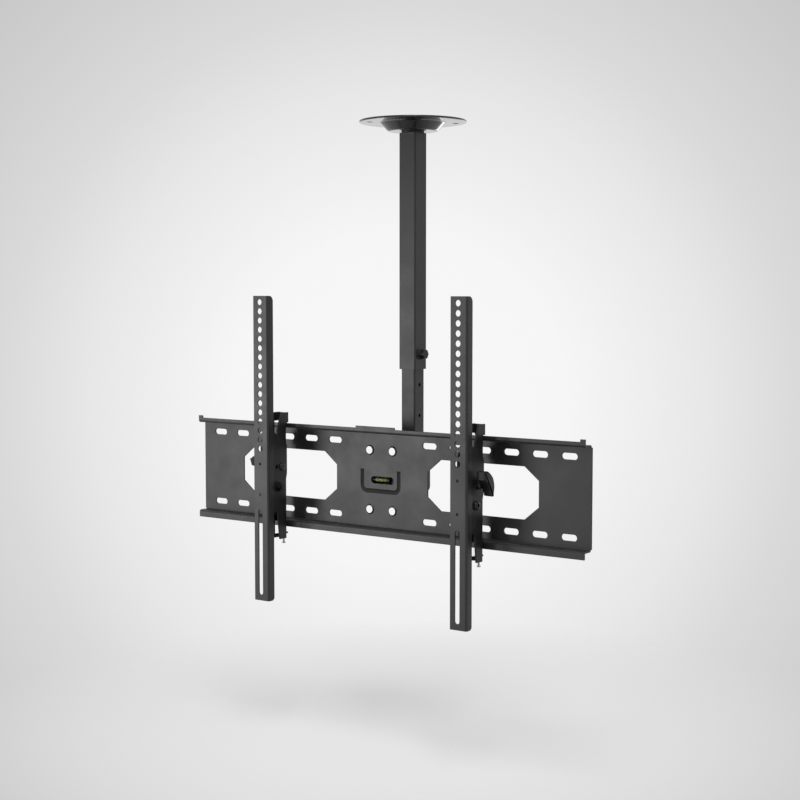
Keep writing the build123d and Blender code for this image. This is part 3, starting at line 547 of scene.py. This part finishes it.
def make_weld_tree():
    tree = bpy.data.node_groups.new("weld_ripples", "GeometryNodeTree")
    tree.interface.new_socket(name="Geometry", in_out="INPUT", socket_type="NodeSocketGeometry")
    for label, kind, value in weld_inputs:
        socket = tree.interface.new_socket(name=label, in_out="INPUT", socket_type=kind)
        socket.default_value = value
    tree.interface.new_socket(name="Finish", in_out="INPUT", socket_type="NodeSocketMaterial")
    tree.interface.new_socket(name="Geometry", in_out="OUTPUT", socket_type="NodeSocketGeometry")
    given, out = tree.nodes.new("NodeGroupInput"), tree.nodes.new("NodeGroupOutput")
    curve = tree.nodes.new("GeometryNodeMeshToCurve")
    tree.links.new(given.outputs["Geometry"], curve.inputs["Mesh"])
    spaced = tree.nodes.new("GeometryNodeResampleCurve")
    spaced.mode = "LENGTH"
    tree.links.new(curve.outputs["Curve"], spaced.inputs["Curve"])
    tree.links.new(given.outputs["Ripple Step"], spaced.inputs["Length"])
    ripple = tree.nodes.new("GeometryNodeMeshIcoSphere")
    ripple.inputs["Radius"].default_value = 0.5
    ripple.inputs["Subdivisions"].default_value = 3
    align = tree.nodes.new("FunctionNodeAlignRotationToVector")
    align.axis = "X"
    tangent = tree.nodes.new("GeometryNodeInputTangent")
    tree.links.new(tangent.outputs["Tangent"], align.inputs["Vector"])
    uneven = tree.nodes.new("FunctionNodeRandomValue")
    float_min, float_max, float_value = 2, 3, 1
    uneven.inputs[float_min].default_value = ripple_least
    uneven.inputs[float_max].default_value = ripple_most
    tree.links.new(given.outputs["Seed"], uneven.inputs["Seed"])
    width = add_math(tree, "MULTIPLY", given.outputs["Bead Width"], uneven.outputs[float_value])
    size = tree.nodes.new("ShaderNodeCombineXYZ")
    tree.links.new(add_math(tree, "MULTIPLY", width, ripple_length), size.inputs["X"])
    tree.links.new(width, size.inputs["Y"])
    tree.links.new(width, size.inputs["Z"])
    placed = tree.nodes.new("GeometryNodeInstanceOnPoints")
    tree.links.new(spaced.outputs["Curve"], placed.inputs["Points"])
    tree.links.new(ripple.outputs["Mesh"], placed.inputs["Instance"])
    tree.links.new(align.outputs["Rotation"], placed.inputs["Rotation"])
    tree.links.new(size.outputs["Vector"], placed.inputs["Scale"])
    real = tree.nodes.new("GeometryNodeRealizeInstances")
    tree.links.new(placed.outputs["Instances"], real.inputs["Geometry"])
    smooth = tree.nodes.new("GeometryNodeSetShadeSmooth")
    tree.links.new(real.outputs["Geometry"], smooth.inputs["Geometry"])
    coat = tree.nodes.new("GeometryNodeSetMaterial")
    tree.links.new(smooth.outputs["Geometry"], coat.inputs["Geometry"])
    tree.links.new(given.outputs["Finish"], coat.inputs["Material"])
    tree.links.new(coat.outputs["Geometry"], out.inputs["Geometry"])
    return tree


def weld_bead(tree, name, body, runs, width, seed):
    """A weld along runs of points, turned into one plain mesh that rides on its body."""
    paths = bpy.data.meshes.new(name + "_path")
    points, edges = [], []
    for run in runs:
        start = len(points)
        points += [tuple(point) for point in run]
        edges += [(start + n, start + n + 1) for n in range(len(run) - 1)]
    paths.from_pydata(points, edges, [])
    carrier = bpy.data.objects.new(name + "_path", paths)
    bpy.context.scene.collection.objects.link(carrier)
    maker = carrier.modifiers.new("ripples", "NODES")
    maker.node_group = tree
    wanted = {"Bead Width": width * mm, "Ripple Step": ripple_step * width * mm, "Seed": seed,
              "Finish": finishes["charcoal_coat"]}
    for socket in tree.interface.items_tree:
        if socket.in_out == "INPUT" and socket.name in wanted:
            maker[socket.identifier] = wanted[socket.name]
    bpy.context.view_layer.update()
    ready = carrier.evaluated_get(bpy.context.evaluated_depsgraph_get())
    mesh = bpy.data.meshes.new_from_object(ready)
    mesh.name = name
    bpy.data.objects.remove(carrier)
    add_piece(mesh, name, None, body)


def weld_pieces():
    tree = make_weld_tree()
    for number, (side, out) in enumerate(sides.items()):
        low, high = box_of[f"bracket_{side}"]
        mid_z = (low.z + high.z) / 2
        end_x = high.x if out == 1 else low.x
        sheet_y = low.y + foot_weld_back * mm
        reach = (high.z - low.z) / 2 + foot_weld_clear * mm
        upright = [(end_x + out * foot_weld_clear * mm, sheet_y, mid_z + z * mm)
                   for z in (-foot_weld_half, foot_weld_half)]
        across = [[(end_x - out * x * mm, sheet_y, mid_z + way * reach) for x in foot_weld_run]
                  for way in (-1, 1)]
        weld_bead(tree, f"foot_weld_{side}", "lower_mast", [upright] + across, foot_weld_width,
                  foot_weld_seed + number)
        low, high = box_of[f"tilt_plate_{side}"]
        mid_z = (low.z + high.z) / 2
        stitches = [[(low.x + plate_weld_in * mm, low.y - plate_weld_ahead * mm,
                      mid_z + (z + shift) * mm) for shift in (-plate_weld_half, plate_weld_half)]
                    for z in plate_weld_heights]
        weld_bead(tree, f"plate_weld_{side}", f"{side}_arm", stitches, plate_weld_width,
                  plate_weld_seed + number)
    low, high = box_of["clamp_boss"]
    middle = centre_of["clamp_boss"]
    radius = (high.z - low.z) / 2
    turns = [2 * math.pi * n / boss_weld_steps for n in range(boss_weld_steps + 1)]
    ring = [(low.x + boss_weld_in * mm, middle.y + radius * math.cos(a),
             middle.z + radius * math.sin(a)) for a in turns]
    weld_bead(tree, "boss_weld", "upper_mast", [ring], boss_weld_width, boss_weld_seed)


for side, out in sides.items():
    knob_grip(side, out)
bead_trough()
level_trim()
thread_pieces()
weld_pieces()


# Studio: floor under the hanging mount, backdrop, lights and camera

camera_place = Vector((1.3369, -1.8930, -0.2535))
camera_turn = Euler((math.radians(85.965), 0.0, math.radians(35.706)))
camera_lens, camera_sensor = 69.3, 36.0
middle_of_mount = (0.0, -0.1, -0.45)
middle_of_mast = (0.0, 0.0, -0.2)
room_light = 0.06
backdrop_reach = 0.6                # radians off the camera's axis, where the last tone stands
backdrop_tones = [(0.0, 0.93), (0.18, 0.92), (0.33, 0.80), (0.42, 0.70), (0.5, 0.64), (0.6, 0.57),
                  (0.8, 0.64), (1.0, 0.66)]
floor_z, floor_r = -0.915, 0.8      # below the arms at the mast's lowest height
floor_full, floor_gone = 0.2, 0.75  # distances from its middle between which the floor fades
floor_matt, floor_glow = 0.8, 0.462


def studio_camera():
    data = bpy.data.cameras.new("studio_camera")
    data.lens = camera_lens
    data.sensor_width = camera_sensor
    camera = bpy.data.objects.new("studio_camera", data)
    camera.location = camera_place
    camera.rotation_euler = camera_turn
    bpy.context.scene.collection.objects.link(camera)
    bpy.context.scene.camera = camera


def soft_panel(name, place, target, size, power):
    """A large soft light at a place, aimed at a target point."""
    data = bpy.data.lights.new(name, "AREA")
    data.shape = "RECTANGLE"
    data.size, data.size_y = size
    data.energy = power
    light = bpy.data.objects.new(name, data)
    light.location = place
    light.rotation_euler = (Vector(target) - Vector(place)).to_track_quat("-Z", "Y").to_euler()
    bpy.context.scene.collection.objects.link(light)


def pale_backdrop():
    """World: even soft light on the mount, and a pale ground that darkens outwards for the camera."""
    world = bpy.data.worlds.new("pale_backdrop")
    bpy.context.scene.world = world
    world.use_nodes = True
    tree = world.node_tree
    tree.nodes.clear()
    out = tree.nodes.new("ShaderNodeOutputWorld")
    light = tree.nodes.new("ShaderNodeBackground")
    light.inputs["Color"].default_value = (room_light, room_light, room_light, 1.0)
    shown = tree.nodes.new("ShaderNodeBackground")
    view = tree.nodes.new("ShaderNodeTexCoord").outputs["Generated"]
    middle = tree.nodes.new("ShaderNodeVectorMath")
    middle.operation = "DOT_PRODUCT"
    middle.inputs[1].default_value = camera_turn.to_matrix() @ Vector((0.0, 0.0, -1.0))
    tree.links.new(view, middle.inputs[0])
    angle = add_math(tree, "ARCCOSINE", middle.outputs["Value"])
    ramp = tree.nodes.new("ShaderNodeValToRGB")
    tree.links.new(add_math(tree, "DIVIDE", angle, backdrop_reach), ramp.inputs["Fac"])
    while len(ramp.color_ramp.elements) < len(backdrop_tones):
        ramp.color_ramp.elements.new(0.5)
    for element, (position, value) in zip(ramp.color_ramp.elements, backdrop_tones):
        element.position = position
        element.color = (value, value, value, 1.0)
    tree.links.new(ramp.outputs["Color"], shown.inputs["Color"])
    path = tree.nodes.new("ShaderNodeLightPath")
    seen = add_math(tree, "MAXIMUM", path.outputs["Is Camera Ray"], path.outputs["Is Transmission Ray"])
    seen = add_math(tree, "MAXIMUM", seen, path.outputs["Is Glossy Ray"])
    choose = tree.nodes.new("ShaderNodeMixShader")
    tree.links.new(seen, choose.inputs["Fac"])
    tree.links.new(light.outputs["Background"], choose.inputs[1])
    tree.links.new(shown.outputs["Background"], choose.inputs[2])
    tree.links.new(choose.outputs["Shader"], out.inputs["Surface"])


def pale_floor():
    """A pale floor that takes the mount's soft shadow and fades into the backdrop at its rim."""
    mesh = bpy.data.meshes.new("pale_floor")
    bm = bmesh.new()
    bmesh.ops.create_circle(bm, cap_ends=True, segments=64, radius=floor_r,
                            matrix=Matrix.Translation((0.0, 0.0, floor_z)))
    bm.to_mesh(mesh)
    bm.free()
    floor = bpy.data.objects.new("pale_floor", mesh)
    bpy.context.scene.collection.objects.link(floor)
    material = bpy.data.materials.new("pale_floor")
    material.use_nodes = True
    tree = material.node_tree
    tree.nodes.clear()
    out = tree.nodes.new("ShaderNodeOutputMaterial")
    place = object_place(tree)
    centred = tree.nodes.new("ShaderNodeVectorMath")
    centred.operation = "SUBTRACT"
    centred.inputs[1].default_value = (0.0, 0.0, floor_z)
    tree.links.new(place, centred.inputs[0])
    reach = tree.nodes.new("ShaderNodeVectorMath")
    reach.operation = "LENGTH"
    tree.links.new(centred.outputs["Vector"], reach.inputs[0])
    cover = map_range(tree, reach.outputs["Value"], floor_full, floor_gone, 1.0, 0.0)
    behind = tree.nodes.new("ShaderNodeNewGeometry").outputs["Backfacing"]
    cover = add_math(tree, "MULTIPLY", cover, add_math(tree, "SUBTRACT", 1.0, behind))
    matt = tree.nodes.new("ShaderNodeBsdfDiffuse")
    matt.inputs["Color"].default_value = (floor_matt, floor_matt, floor_matt, 1.0)
    glow = tree.nodes.new("ShaderNodeEmission")
    glow.inputs["Color"].default_value = (floor_glow, floor_glow, floor_glow, 1.0)
    tree.links.new(tree.nodes.new("ShaderNodeLightPath").outputs["Is Camera Ray"],
                   glow.inputs["Strength"])
    both = tree.nodes.new("ShaderNodeAddShader")
    tree.links.new(matt.outputs["BSDF"], both.inputs[0])
    tree.links.new(glow.outputs["Emission"], both.inputs[1])
    clear = tree.nodes.new("ShaderNodeBsdfTransparent")
    laid = tree.nodes.new("ShaderNodeMixShader")
    tree.links.new(cover, laid.inputs["Fac"])
    tree.links.new(clear.outputs["BSDF"], laid.inputs[1])
    tree.links.new(both.outputs["Shader"], laid.inputs[2])
    tree.links.new(laid.outputs["Shader"], out.inputs["Surface"])
    mesh.materials.append(material)


studio_camera()
pale_backdrop()
pale_floor()
soft_panel("key_panel", (-1.56, -2.02, -0.6), middle_of_mount, size=(0.8, 0.6), power=11.0)
soft_panel("back_panel", (-0.5, 2.4, -0.8), middle_of_mount, size=(0.8, 0.8), power=5.0)
soft_panel("top_panel", (0.65, -0.9, 2.2), middle_of_mast, size=(1.1, 2.0), power=38.0)

bpy.context.scene.view_settings.view_transform = "Standard"
